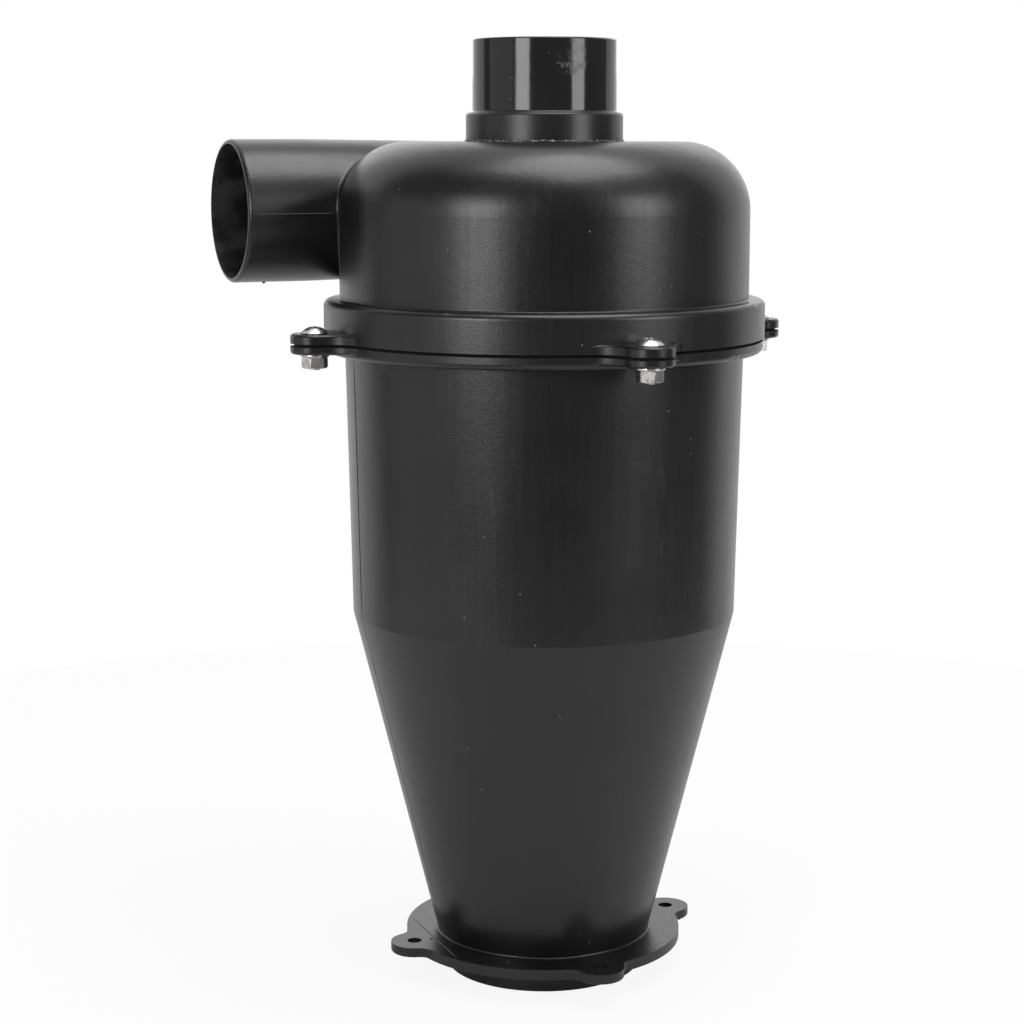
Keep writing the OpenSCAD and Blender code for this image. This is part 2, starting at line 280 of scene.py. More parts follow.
grain, given, result = group_tree(
    "moulded_grain",
    [
        ("Vector", "NodeSocketVector", None),
        ("Wave Size", "NodeSocketFloat", 300.0),
        ("Wave Share", "NodeSocketFloat", 0.4),
        ("Grain Share", "NodeSocketFloat", 0.25),
    ],
    [("Height", "NodeSocketFloat"), ("Patch", "NodeSocketFloat"), ("Streak", "NodeSocketFloat")],
)
wave = add(grain, "ShaderNodeTexNoise", Vector=given["Vector"], Scale=given["Wave Size"], Detail=1.0)
fine_size = maths(grain, "MULTIPLY", given["Wave Size"], 6.0)
fine = add(grain, "ShaderNodeTexNoise", Vector=given["Vector"], Scale=fine_size, Detail=2.0)
slow = add(grain, "ShaderNodeTexNoise", Vector=given["Vector"], Scale=26.0, Detail=3.0)
height = maths(grain, "MULTIPLY", wave.outputs["Fac"], given["Wave Share"])
height = maths(grain, "MULTIPLY_ADD", fine.outputs["Fac"], given["Grain Share"], height)
grain.links.new(height, result["Height"])
grain.links.new(grade(grain, slow.outputs["Fac"], 0.3, 0.7), result["Patch"])
drawn = add(grain, "ShaderNodeMapping", Vector=given["Vector"])
drawn.inputs["Scale"].default_value = (1.0, 1.0, 0.03)
lines = add(grain, "ShaderNodeTexNoise", Vector=drawn.outputs[0], Scale=520.0, Detail=3.0)
grain.links.new(grade(grain, lines.outputs["Fac"], 0.35, 0.68), result["Streak"])
print("grain nodes:", len(grain.nodes))

# %% [markdown]
# The photograph also shows what handling leaves: bright specks of dust, about half a millimetre
# wide or less, and a few faint rub marks. Voronoi cells hold one possible speck each, and a random
# number per cell decides which of them are shown. The rub marks are long thin noise with only its
# highest parts kept.

# %% Build the dust and rub marks
marks, given, result = group_tree(
    "dust_and_rubs",
    [
        ("Vector", "NodeSocketVector", None),
        ("Speck Size", "NodeSocketFloat", 0.02),
        ("Speck Share", "NodeSocketFloat", 0.25),
    ],
    [("Speck", "NodeSocketFloat"), ("Rub", "NodeSocketFloat")],
)
cells = add(marks, "ShaderNodeTexVoronoi", Vector=given["Vector"], Scale=200.0)
near = maths(marks, "LESS_THAN", cells.outputs["Distance"], given["Speck Size"])
split = add(marks, "ShaderNodeSeparateColor", Color=cells.outputs["Color"])
chosen = maths(marks, "LESS_THAN", split.outputs[0], given["Speck Share"])
marks.links.new(maths(marks, "MULTIPLY", near, chosen), result["Speck"])
turned_way = add(marks, "ShaderNodeMapping", Vector=given["Vector"])
turned_way.inputs["Rotation"].default_value = (0.4, 0.9, 0.3)
turned_way.inputs["Scale"].default_value = (1.0, 1.0, 0.12)
streaks = add(marks, "ShaderNodeTexNoise", Vector=turned_way.outputs[0], Scale=380.0, Detail=4.0)
zone = add(marks, "ShaderNodeTexNoise", Vector=given["Vector"], Scale=38.0, Detail=1.0)
kept = maths(
    marks,
    "MULTIPLY",
    grade(marks, streaks.outputs["Fac"], 0.56, 0.72),
    grade(marks, zone.outputs["Fac"], 0.5, 0.66),
)
marks.links.new(kept, result["Rub"])
print("mark nodes:", len(marks.nodes))


# %% [markdown]
# The body plastic is a satin black. Its colour varies very little, so most of the work is done by the
# roughness, which is broken up by the slow patches, the streaks and the rubs, and by the bump. The
# rubs fade out towards the base plate.

# %% Mix the body plastic
def group_node(tree, group, vector, **values):
    node = add(tree, "ShaderNodeGroup", {"node_tree": group})
    tree.links.new(vector, node.inputs["Vector"])
    for key, value in values.items():
        node.inputs[key.replace("_", " ")].default_value = value
    return node


def start_material(name):
    material = bpy.data.materials.new(name)
    material.use_nodes = True
    tree = material.node_tree
    tree.nodes.clear()
    shader = add(tree, "ShaderNodeBsdfPrincipled", IOR=1.46)
    add(tree, "ShaderNodeOutputMaterial", Surface=shader.outputs[0])
    place = add(tree, "ShaderNodeTexCoord").outputs["Object"]
    return material, tree, shader, place


def blend_colours(tree, share, first, second):
    node = add(tree, "ShaderNodeMix", {"data_type": "RGBA"})
    sockets = (node.inputs[0], node.inputs[6], node.inputs[7])
    for socket, value in zip(sockets, (share, first, second)):
        if isinstance(value, bpy.types.NodeSocket):
            tree.links.new(value, socket)
        else:
            socket.default_value = value
    return node.outputs[2]


def bump_from(tree, height, strength, distance):
    node = add(tree, "ShaderNodeBump", Height=height, Strength=strength, Distance=distance)
    return node.outputs["Normal"]


MM = 0.001
RUBS_START = 16
RUBS_FULL = 40

body, tree, shader, place = start_material("satin_black_plastic")
grained = group_node(tree, grain, place, Wave_Size=300.0, Wave_Share=0.3, Grain_Share=0.42)
marked = group_node(tree, marks, place, Speck_Size=0.055, Speck_Share=0.12)
patch = grained.outputs["Patch"]
plain = blend_colours(tree, patch, (0.0032, 0.0033, 0.0034, 1), (0.0052, 0.0052, 0.0053, 1))
axes = add(tree, "ShaderNodeSeparateXYZ", Vector=place)
handled = grade(tree, axes.outputs["Z"], RUBS_START * MM, RUBS_FULL * MM)
rub = maths(tree, "MULTIPLY", marked.outputs["Rub"], handled)
rubbed = blend_colours(tree, rub, plain, (0.0075, 0.0075, 0.0075, 1))
dusted = blend_colours(tree, marked.outputs["Speck"], rubbed, (0.11, 0.11, 0.105, 1))
print("rubs start at", RUBS_START, "mm")


# %% [markdown]
# Dust has settled in the mouth of the inlet tube. Its film lies on every point that is nearer to the
# tube's axis than its bore, thins out further in, and is made patchy with noise. A helper measures how
# far a point is from a middle, after the space round it is squeezed: squeezed flat along the tube, the
# distance from a point becomes the distance from the tube's axis.

# %% Dust the mouth of the inlet
INLET_Y = 47.9
INLET_Z = 275.2
MOUTH_BORE = 23.7
FILM_INNER_END = -55
FILM_FULL = -75


def reach_from(tree, place, middle, squeeze):
    moved = add(tree, "ShaderNodeVectorMath", {"operation": "SUBTRACT"})
    tree.links.new(place, moved.inputs[0])
    moved.inputs[1].default_value = [value * MM for value in middle]
    squeezed = add(tree, "ShaderNodeMapping", Vector=moved.outputs[0])
    squeezed.inputs["Scale"].default_value = squeeze
    reach = add(tree, "ShaderNodeVectorMath", {"operation": "LENGTH"})
    tree.links.new(squeezed.outputs[0], reach.inputs[0])
    return squeezed.outputs[0], reach.outputs["Value"]


from_axis = reach_from(tree, place, (0.0, INLET_Y, INLET_Z), (0.0, 1.0, 1.0))[1]
inside = maths(tree, "LESS_THAN", from_axis, (MOUTH_BORE + 0.06) * MM)
near_mouth = grade(tree, axes.outputs["X"], FILM_INNER_END * MM, FILM_FULL * MM)
powder = add(tree, "ShaderNodeTexNoise", Vector=place, Scale=110.0, Detail=5.0)
film = grade(tree, powder.outputs["Fac"], 0.4, 0.66, 0.15, 1.0)
film = maths(tree, "MULTIPLY", film, maths(tree, "MULTIPLY", inside, near_mouth))
filmed = blend_colours(tree, maths(tree, "MULTIPLY", film, 0.4), dusted, (0.05, 0.05, 0.05, 1))
print("dust film inside a bore of", 2 * MOUTH_BORE, "mm")

# %% [markdown]
# Hardly any light comes back out of the narrow groove between the lid and the barrel, so shade is
# painted
# into it: a near-black colour and no shine. The roughness and the bump of the whole plastic follow.

# %% Paint shade into the seam and finish the body plastic
SEAM_LOW = 230.6
SEAM_TOP = 231.75
SEAM_FADE = 0.05

height = axes.outputs["Z"]
above = grade(tree, height, (SEAM_LOW - SEAM_FADE) * MM, (SEAM_LOW + SEAM_FADE) * MM)
below = grade(tree, height, (SEAM_TOP - SEAM_FADE) * MM, (SEAM_TOP + SEAM_FADE) * MM, 1.0, 0.0)
# painted shade: inside the groove the colour turns near-black and the roughness goes to full
seam_shade_mask = maths(tree, "MULTIPLY", above, below)
seam_shaded_colour = blend_colours(tree, seam_shade_mask, filmed, (0.0008, 0.0008, 0.0008, 1))
tree.links.new(seam_shaded_colour, shader.inputs["Base Color"])
streak = grained.outputs["Streak"]
rough = maths(tree, "MULTIPLY_ADD", patch, 0.04, 0.285)
rough = maths(tree, "MULTIPLY_ADD", rub, 0.03, rough)
rough = maths(tree, "MULTIPLY_ADD", streak, 0.032, rough)
rough = maths(tree, "MULTIPLY_ADD", film, 0.12, rough)
rough = maths(tree, "MAXIMUM", rough, seam_shade_mask)
tree.links.new(rough, shader.inputs["Roughness"])
relief = maths(tree, "MULTIPLY_ADD", streak, 0.05, grained.outputs["Height"])
tree.links.new(bump_from(tree, relief, 0.9, 0.00009), shader.inputs["Normal"])
print("body nodes:", len(tree.nodes))

# %% [markdown]
# The outlet tube is polished, but its collar was left satin. Both are one moulding, so one material
# does both, and the height on the tube decides which finish shows.

# %% Mix the tube plastic
COLLAR_TOP = 309.95
COLLAR_FADE = 0.15

tube, tree, shader, place = start_material("glossy_black_plastic")
shader.inputs["IOR"].default_value = 1.42
grained = group_node(tree, grain, place, Wave_Size=240.0, Wave_Share=1.0, Grain_Share=0.06)
marked = group_node(tree, marks, place, Speck_Size=0.045, Speck_Share=0.3)
patch = grained.outputs["Patch"]
axes = add(tree, "ShaderNodeSeparateXYZ", Vector=place)
height = axes.outputs["Z"]
collar_low = (COLLAR_TOP - COLLAR_FADE) * MM
collar = grade(tree, height, collar_low, (COLLAR_TOP + COLLAR_FADE) * MM, 1.0, 0.0)
plain = blend_colours(tree, patch, (0.0085, 0.0085, 0.0087, 1), (0.011, 0.011, 0.0112, 1))
rubbed = blend_colours(tree, marked.outputs["Rub"], plain, (0.016, 0.016, 0.016, 1))
dusted = blend_colours(tree, marked.outputs["Speck"], rubbed, (0.12, 0.12, 0.115, 1))
print("the gloss starts at", COLLAR_TOP, "mm")

# %% [markdown]
# A thumb has left a smear on the near side of the tube, just under the rim. It is a round patch with
# a soft edge, filled with bent rings of a wave texture for the ridges of the skin, and noise breaks it
# up. Skin grease scatters light, so the smear is paler and much less glossy than the tube.

# %% Leave the thumb's smear
THUMB_MIDDLE = (-0.9, -25.3, 328.0)
THUMB_REACH = 6.6
THUMB_FULL = 5.2
SMEAR_TOP = 330.5
SMEAR_FULL = 325.0

oval, reach = reach_from(tree, place, THUMB_MIDDLE, (1.0, 1.0, 0.95))
pressed = grade(tree, reach, THUMB_REACH * MM, THUMB_FULL * MM)
ridges = add(
    tree,
    "ShaderNodeTexWave",
    {"wave_type": "RINGS", "rings_direction": "SPHERICAL"},
    Vector=oval,
    Scale=118.0,
    Distortion=11.0,
    Detail=3.0,
    Detail_Scale=3.0,
)
below = grade(tree, height, SMEAR_TOP * MM, SMEAR_FULL * MM)
cloud = add(tree, "ShaderNodeTexNoise", Vector=place, Scale=420.0, Detail=3.0)
uneven = grade(tree, cloud.outputs["Fac"], 0.36, 0.62)
smudge = maths(tree, "MULTIPLY", grade(tree, ridges.outputs["Fac"], 0.5, 1.0), below)
smudge = maths(tree, "MULTIPLY", smudge, maths(tree, "MULTIPLY", pressed, uneven))
greased = blend_colours(tree, smudge, dusted, (0.045, 0.045, 0.045, 1))
tree.links.new(greased, shader.inputs["Base Color"])
print("the smear is", 2 * THUMB_REACH, "mm wide")

# %% [markdown]
# The polished part and the satin collar each have a roughness, and the collar's mask chooses.

# %% Finish the tube plastic
gloss = maths(tree, "MULTIPLY_ADD", patch, 0.03, 0.1)
gloss = maths(tree, "MULTIPLY_ADD", marked.outputs["Rub"], 0.14, gloss)
touched = maths(tree, "MULTIPLY", maths(tree, "MULTIPLY", pressed, uneven), 0.35)
gloss = maths(tree, "MULTIPLY_ADD", maths(tree, "MAXIMUM", smudge, touched), 0.26, gloss)
satin = maths(tree, "MULTIPLY_ADD", patch, 0.04, 0.3)
rough = add(tree, "ShaderNodeMix", {"data_type": "FLOAT"})
tree.links.new(collar, rough.inputs[0])
tree.links.new(gloss, rough.inputs[2])
tree.links.new(satin, rough.inputs[3])
tree.links.new(rough.outputs[0], shader.inputs["Roughness"])
relief = maths(tree, "MULTIPLY_ADD", smudge, 0.5, grained.outputs["Height"])
tree.links.new(bump_from(tree, relief, 0.35, 0.00005), shader.inputs["Normal"])
print("tube nodes:", len(tree.nodes))

# %% [markdown]
# The seal is soft black rubber. It is darker than the plastic and nearly without shine, with a powdery
# bloom in patches.

# %% Mix the seal rubber
rubber, tree, shader, place = start_material("seal_rubber")
grained = group_node(tree, grain, place, Wave_Size=600.0, Wave_Share=1.0, Grain_Share=0.8)
patch = grained.outputs["Patch"]
bloom = blend_colours(tree, patch, (0.012, 0.012, 0.012, 1), (0.028, 0.027, 0.026, 1))
tree.links.new(bloom, shader.inputs["Base Color"])
rough = maths(tree, "MULTIPLY_ADD", patch, 0.12, 0.68)
tree.links.new(rough, shader.inputs["Roughness"])
relief = bump_from(tree, grained.outputs["Height"], 0.6, 0.00008)
tree.links.new(relief, shader.inputs["Normal"])
print("rubber nodes:", len(tree.nodes))

# %% [markdown]
# The screws, washers and nuts are steel with a thin bright zinc coat. Zinc is not one even mirror: it
# has cloudy patches, fine turning lines from the machine, and a faint warm tint in places.

# %% Mix the zinc coat
zinc, tree, shader, place = start_material("zinc_coat")
cloud = add(tree, "ShaderNodeTexNoise", Vector=place, Scale=420.0, Detail=4.0)
squeezed = add(tree, "ShaderNodeMapping", Vector=place)
squeezed.inputs["Scale"].default_value = (1.0, 1.0, 9.0)
lines = add(tree, "ShaderNodeTexNoise", Vector=squeezed.outputs[0], Scale=900.0, Detail=2.0)
patch = grade(tree, cloud.outputs["Fac"], 0.35, 0.68)
silver = blend_colours(tree, patch, (0.66, 0.655, 0.65, 1), (0.5, 0.47, 0.47, 1))
tree.links.new(silver, shader.inputs["Base Color"])
shader.inputs["Metallic"].default_value = 1.0
rough = maths(tree, "MULTIPLY_ADD", patch, 0.16, 0.2)
tree.links.new(rough, shader.inputs["Roughness"])
tree.links.new(bump_from(tree, lines.outputs["Fac"], 0.35, 0.00004), shader.inputs["Normal"])
print("zinc nodes:", len(tree.nodes))

# %% [markdown]
# The CAD solids that keep their shapes take these materials as they are.

# %% Dress the solids
FINISHES = {"lid": body, "cone_body": body, "outlet_tube": tube, "seal_ring": rubber}

for name, material in FINISHES.items():
    mesh = nodes[name].data
    mesh.materials.clear()
    mesh.materials.append(material)
    print(name, "takes", material.name)


# %% [markdown]
# New pieces are drawn in millimetres, because that is how a maker reads the part, and are scaled to
# metres at the end. Every piece rides with the part and names the finish that it takes.

# %% Finish a piece
SAME_POINT = 0.0005


def finish_piece(name, bm, material, crease=32):
    bmesh.ops.remove_doubles(bm, verts=bm.verts, dist=SAME_POINT)
    bmesh.ops.recalc_face_normals(bm, faces=bm.faces)
    bmesh.ops.scale(bm, vec=(MM, MM, MM), verts=bm.verts)
    mesh = bpy.data.meshes.new(name)
    bm.to_mesh(mesh)
    bm.free()
    mesh.shade_smooth()
    mesh.set_sharp_from_angle(angle=math.radians(crease))
    mesh.materials.append(material)
    piece = bpy.data.objects.new(name, mesh)
    scene.collection.objects.link(piece)
    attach(piece, "root")
    return piece


def turned(profile, steps):
    bm = bmesh.new()
    corners = [bm.verts.new((radius, 0, height)) for radius, height in profile]
    edges = [bm.edges.new(pair) for pair in zip(corners, corners[1:])]
    bmesh.ops.spin(
        bm,
        geom=corners + edges,
        cent=(0, 0, 0),
        axis=(0, 0, 1),
        angle=math.tau,
        steps=steps,
        use_merge=True,
    )
    bmesh.ops.remove_doubles(bm, verts=bm.verts, dist=SAME_POINT)
    bmesh.ops.recalc_face_normals(bm, faces=bm.faces)
    return bm


def arc(middle_radius, middle_height, radius, start, end, count):
    turns = [math.radians(start + (end - start) * i / (count - 1)) for i in range(count)]
    return [
        (middle_radius + radius * math.cos(turn), middle_height + radius * math.sin(turn))
        for turn in turns
    ]


quarter = arc(0, 0, 1, 0, 90, 3)
print("a quarter turn in 3 points:", [tuple(round(v, 2) for v in point) for point in quarter])


# %% [markdown]
# Cutting one closed shape from another, or keeping only what two shapes share, is a Boolean. The
# helper does it with the modifier on two short-lived objects and gives back the finished bmesh.

# %% Cut one shape with another
def combine(first, second, operation):
    objects = []
    for bm in (first, second):
        mesh = bpy.data.meshes.new("working")
        bm.to_mesh(mesh)
        bm.free()
        item = bpy.data.objects.new("working", mesh)
        scene.collection.objects.link(item)
        objects.append(item)
    cut = objects[0].modifiers.new("cut", "BOOLEAN")
    cut.operation = operation
    cut.solver = "EXACT"
    cut.object = objects[1]
    bpy.context.view_layer.update()
    shape = objects[0].evaluated_get(bpy.context.evaluated_depsgraph_get())
    bm = bmesh.new()
    bm.from_mesh(shape.to_mesh())
    shape.to_mesh_clear()
    for item in objects:
        mesh = item.data
        bpy.data.objects.remove(item)
        bpy.data.meshes.remove(mesh)
    return bm


SCREW_CIRCLE = 85.6
PLACES = {1: 0, 2: 90, 3: 180, 4: 270}


def turn_round(bm, degrees):
    turn = Matrix.Rotation(math.radians(degrees), 3, "Z")
    bmesh.ops.rotate(bm, cent=(0, 0, 0), matrix=turn, verts=bm.verts)


def put_at_screw(bm, number, twist=0):
    turn_round(bm, twist)
    bmesh.ops.translate(bm, vec=(SCREW_CIRCLE, 0, 0), verts=bm.verts)
    turn_round(bm, PLACES[number])


def wear_edges(piece, width, from_angle):
    rounding = piece.modifiers.new("worn_edges", "BEVEL")
    rounding.width = width
    rounding.segments = 2
    rounding.limit_method = "ANGLE"
    rounding.angle_limit = math.radians(from_angle)


print("screws stand at:", sorted(PLACES.values()))

# %% [markdown]
# A pan head screw is turned on a lathe, then a punch presses the cross recess into its head, and a
# die rolls the thread. The head and the core are one turned outline. The recess is cut with two
# tapered blades, and the thread is a small tooth spun upwards as it goes round.

# %% Make the screws
HEAD_SEAT = 235.0
HEAD_TOP = 237.5
TIP = 222.6
TIP_RADIUS = 1.75
CORE_RADIUS = 2.06
SHANK_RADIUS = 2.5
HEAD_RADIUS = 4.9
DOME_RADIUS = 6.2
RECESS = (5.2, 1.3, 2.4)
THREAD_ROOT = 2.0
THREAD_PITCH = 0.8
THREAD_TURNS = 6
TAPER_END = 223.6
ROUND_STEPS = 72


def recess_blade(turn):
    bm = bmesh.new()
    bmesh.ops.create_cube(bm, size=1)
    bmesh.ops.scale(bm, vec=RECESS, verts=bm.verts)
    bottom = [v for v in bm.verts if v.co.z < 0]
    bmesh.ops.scale(bm, vec=(0.62, 0.7, 1), verts=bottom)
    bmesh.ops.translate(bm, vec=(0, 0, HEAD_TOP - 0.6), verts=bm.verts)
    turn_round(bm, turn)
    return bm


def screw_thread():
    bm = bmesh.new()
    profile = ((THREAD_ROOT, 0, 222.3), (SHANK_RADIUS, 0, 222.7), (THREAD_ROOT, 0, 223.1))
    tooth = [bm.verts.new(point) for point in profile]
    edges = [bm.edges.new(pair) for pair in zip(tooth, tooth[1:])]
    steps = 36
    bmesh.ops.spin(
        bm,
        geom=tooth + edges,
        cent=(0, 0, 0),
        axis=(0, 0, 1),
        dvec=(0, 0, THREAD_PITCH / steps),
        angle=math.tau * THREAD_TURNS,
        steps=steps * THREAD_TURNS,
    )
    bmesh.ops.remove_doubles(bm, verts=bm.verts, dist=0.001)
    return bm


def screw_shape():
    dome_middle = HEAD_TOP - DOME_RADIUS
    lip = math.degrees(math.acos((HEAD_RADIUS - 0.12) / DOME_RADIUS))
    outline = [(0, TIP), (TIP_RADIUS, TIP), (CORE_RADIUS, TIP + 0.3), (CORE_RADIUS, HEAD_SEAT - 0.9)]
    outline += [(SHANK_RADIUS, HEAD_SEAT - 0.6), (SHANK_RADIUS, HEAD_SEAT), (4.7, HEAD_SEAT)]
    outline += [(4.86, HEAD_SEAT + 0.1), (HEAD_RADIUS, HEAD_SEAT + 0.3)]
    outline += arc(0, dome_middle, DOME_RADIUS, lip, 90, 14)
    outline[-1] = (0, HEAD_TOP)
    bm = turned(outline, ROUND_STEPS)
    bm = combine(bm, recess_blade(0), "DIFFERENCE")
    return combine(bm, recess_blade(90), "DIFFERENCE")


for number, twist in {1: 20, 2: 70, 3: 38, 4: 12}.items():
    bm = screw_shape()
    thread = screw_thread()
    spare = bpy.data.meshes.new("thread")
    thread.to_mesh(spare)
    thread.free()
    bm.from_mesh(spare)
    bpy.data.meshes.remove(spare)
    for vert in bm.verts:
        reach = vert.co.xy.length
        limit = max(TIP_RADIUS, TIP_RADIUS + vert.co.z - TIP)
        if vert.co.z < TAPER_END and reach > limit:
            vert.co.xy *= limit / reach
        vert.co.z = max(vert.co.z, TIP)
    put_at_screw(bm, number, twist)
    screw = finish_piece("machine_screw_" + str(number), bm, zinc)
    wear_edges(screw, 0.00009, 38)
    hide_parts("screw_" + str(number))
    print(screw.name, "faces:", len(screw.data.polygons))

# %% [markdown]
# A flat washer is stamped from sheet, so one edge is rounded by the punch and the other is sharp. It
# is a turned ring whose lower outer edge has the larger rounding.

# %% Make the washers
WASHER_LOW = 227.1
WASHER_TOP = 228.1
WASHER_HOLE = 2.65

for number in PLACES:
    outline = [(WASHER_HOLE, WASHER_LOW + 0.1), (2.75, WASHER_LOW)]
    outline += arc(4.75, WASHER_LOW + 0.25, 0.25, -90, 0, 5)
    outline += arc(4.92, WASHER_TOP - 0.08, 0.08, 0, 90, 3)
    outline += [(2.72, WASHER_TOP), (WASHER_HOLE, WASHER_TOP - 0.07), (WASHER_HOLE, WASHER_LOW + 0.1)]
    bm = turned(outline, ROUND_STEPS)
    put_at_screw(bm, number)
    washer = finish_piece("flat_washer_" + str(number), bm, zinc)
    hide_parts("washer_" + str(number))
print("washer faces:", len(washer.data.polygons))

# %% [markdown]
# A nut is a hexagon whose corners are cut back by a cone at each end. The hexagon is kept only where
# it meets a turned ring with coned ends, which also gives the nut its countersunk hole.

# %% Make the nuts
NUT_LOW = 223.1
NUT_HEIGHT = 4
ACROSS_FLATS = 8
NUT_TURN = -5
NUT_HOLE = 2.55
corner_radius = ACROSS_FLATS / 2 / math.cos(math.radians(30))

for number in PLACES:
    hexagon = bmesh.new()
    bmesh.ops.create_cone(
        hexagon,
        cap_ends=True,
        segments=6,
        radius1=corner_radius,
        radius2=corner_radius,
        depth=NUT_HEIGHT,
    )
    bmesh.ops.translate(hexagon, vec=(0, 0, NUT_LOW + NUT_HEIGHT / 2), verts=hexagon.verts)
    corner = max(hexagon.verts, key=lambda v: (round(v.co.x, 3), v.co.y))
    start = math.degrees(math.atan2(corner.co.y, corner.co.x))
    turn_round(hexagon, -start)
    top = NUT_LOW + NUT_HEIGHT
    outline = [(2.75, NUT_LOW), (3.85, NUT_LOW), (4.8, NUT_LOW + 0.52), (4.8, top - 0.52), (3.85, top)]
    outline += [(2.75, top), (NUT_HOLE, top - 0.2), (NUT_HOLE, NUT_LOW + 0.2), (2.75, NUT_LOW)]
    bm = combine(hexagon, turned(outline, ROUND_STEPS), "INTERSECT")
    put_at_screw(bm, number, NUT_TURN)
    nut = finish_piece("hexagon_nut_" + str(number), bm, zinc, 20)
    wear_edges(nut, 0.00008, 24)
    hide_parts("nut_" + str(number))
print("nut faces:", len(nut.data.polygons))

# %% [markdown]
# Where two halves of a mould meet, a hair of plastic is squeezed out and leaves a fine raised line.
# It is far too thin for the CAD model. Here it is lofted: a small cross-section is placed at each point
# of a path, and neighbouring sections are bridged. The foot of each section lies under the surface, so
# that the line grows out of the plastic.


# %% Loft between sections
def loft(sections):
    bm = bmesh.new()
    rings = []
    for points in sections:
        corners = [bm.verts.new(point) for point in points]
        around = zip(corners, corners[1:] + corners[:1])
        rings.append([bm.edges.new(pair) for pair in around])
    for first, second in zip(rings, rings[1:]):
        bmesh.ops.bridge_loops(bm, edges=first + second)
    bmesh.ops.holes_fill(bm, edges=rings[0] + rings[-1])
    return bm


BURIED = -0.12


def ridge(path, outward, width, proud):
    sections = []
    for i, point in enumerate(path):
        before = path[max(i - 1, 0)]
        after = path[min(i + 1, len(path) - 1)]
        along = (after - before).normalized()
        out = outward[i].normalized()
        across = along.cross(out).normalized()
        ends = min(1, 0.2 + i / 2, 0.2 + (len(path) - 1 - i) / 2)
        rise = proud * ends
        left = [(-0.5, BURIED), (-0.28, rise * 0.7)]
        right = [(0.28, rise * 0.7), (0.5, BURIED)]
        section = []
        for side, height in left + [(0, rise)] + right:
            section.append(point + across * side * width * ends + out * height)
        sections.append(section)
    return loft(sections)


def straight(start, end, count):
    return [Vector(start).lerp(Vector(end), i / (count - 1)) for i in range(count)]


print("points on a straight path:", len(straight((0, 0, 0), (1, 0, 0), 5)))

# %% [markdown]
# The inlet tube has one such line on each side, a little below the height of its axis. The tube is
# straight behind its mouth and then tapers a little towards the drum, and the line follows it.

# %% Draw the lines on the inlet tube
INLET_RADIUS = 25.3
INLET_ROOT_RADIUS = 24.2
TAPER_START = -73.2
MOUTH_X = -101.2
LINE_Z = INLET_Z - 0.4
LINE_ENDS = (("inlet_line_front", -1, -68.6), ("inlet_line_back", 1, -12))


def inlet_radius(x):
    return INLET_ROOT_RADIUS + (INLET_RADIUS - INLET_ROOT_RADIUS) * min(1, x / TAPER_START)


for name, side, last in LINE_ENDS:
    path = []
    for point in straight((MOUTH_X + 1.4, 0, LINE_Z), (last, 0, LINE_Z), 24):
        path.append(Vector((point.x, INLET_Y + side * inlet_radius(point.x), point.z)))
    bm = ridge(path, [Vector((0, side, 0))] * len(path), 0.6, 0.3)
    line = finish_piece(name, bm, body)
    print(name, "faces:", len(line.data.polygons))


# %% [markdown]
# The drum, its ring, the barrel and the cone show upright lines where the halves of their moulds
# closed. Each line runs between two points, given as a distance from the axis and a height.

# %% Draw the upright lines
DRUM_RADIUS = 72.4
RING_RADIUS = 78.1
BARREL_FOOT = (68.75, 133.4)
BARREL_HEAD = (70.72, 225.6)
CONE_FOOT = (39.1, 14.4)
CONE_HEAD = (68.68, 132.8)
MOULD_SIDES = {"left": 177.9, "right": -2.1}


def round_the_axis(turn, radius, height):
    turn = math.radians(turn)
    return Vector((radius * math.cos(turn), radius * math.sin(turn), height))


def upright_line(name, turn, foot, head, width, proud, count=12):
    start = round_the_axis(turn, *foot)
    end = round_the_axis(turn, *head)
    path = straight(start, end, count)
    bm = ridge(path, [round_the_axis(turn, 1, 0)] * count, width, proud)
    finish_piece(name, bm, body)
    print(name, "length:", round((end - start).length, 1))


upright_line("drum_line", 164.2, (DRUM_RADIUS, 245.4), (DRUM_RADIUS, 275.5), 0.3, 0.1)
upright_line("ring_line", 167.5, (RING_RADIUS, 232.4), (RING_RADIUS, 242.4), 0.3, 0.08)
for side, turn in MOULD_SIDES.items():
    upright_line("barrel_line_" + side, turn, BARREL_FOOT, BARREL_HEAD, 0.3, 0.09, 30)
for side, turn in MOULD_SIDES.items():
    upright_line("cone_line_" + side, turn, CONE_FOOT, CONE_HEAD, 0.3, 0.07, 30)

# %% [markdown]
# A few scratches and drag marks, made when the parts were pulled from the mould, are much finer.

# %% Draw the drag marks
DRAG_MARKS = (
    (-152.3, RING_RADIUS, 232.6, 237.2, 0.16, 0.035),
    (-151.0, RING_RADIUS, 232.2, 238.6, 0.14, 0.03),
    (-149.6, RING_RADIUS, 233.5, 238.0, 0.12, 0.03),
    (-141.7, DRUM_RADIUS, 266.0, 274.5, 0.14, 0.03),
    (-133.2, DRUM_RADIUS, 259.0, 272.0, 0.12, 0.025),
    (-132.0, DRUM_RADIUS, 262.5, 270.5, 0.12, 0.025),
)

for number, (turn, radius, low, high, width, proud) in enumerate(DRAG_MARKS, 1):
    upright_line("drag_mark_" + str(number), turn, (radius, low), (radius, high), width, proud)

# %% [markdown]
# The top of the base plate carries a straight line too, where an insert of the mould ended, and two
# small round marks from the pins that push the part out of the mould. A pin mark is a turned rim.

# %% Mark the base plate
PLATE_TOP = 13.5
PIN_RIM = 0.12

path = straight((-42.8, 23.5, PLATE_TOP), (-43.2, -23.0, PLATE_TOP), 20)
bm = ridge(path, [Vector((0, 0, 1))] * len(path), 0.42, 0.17)
finish_piece("plate_line", bm, body)


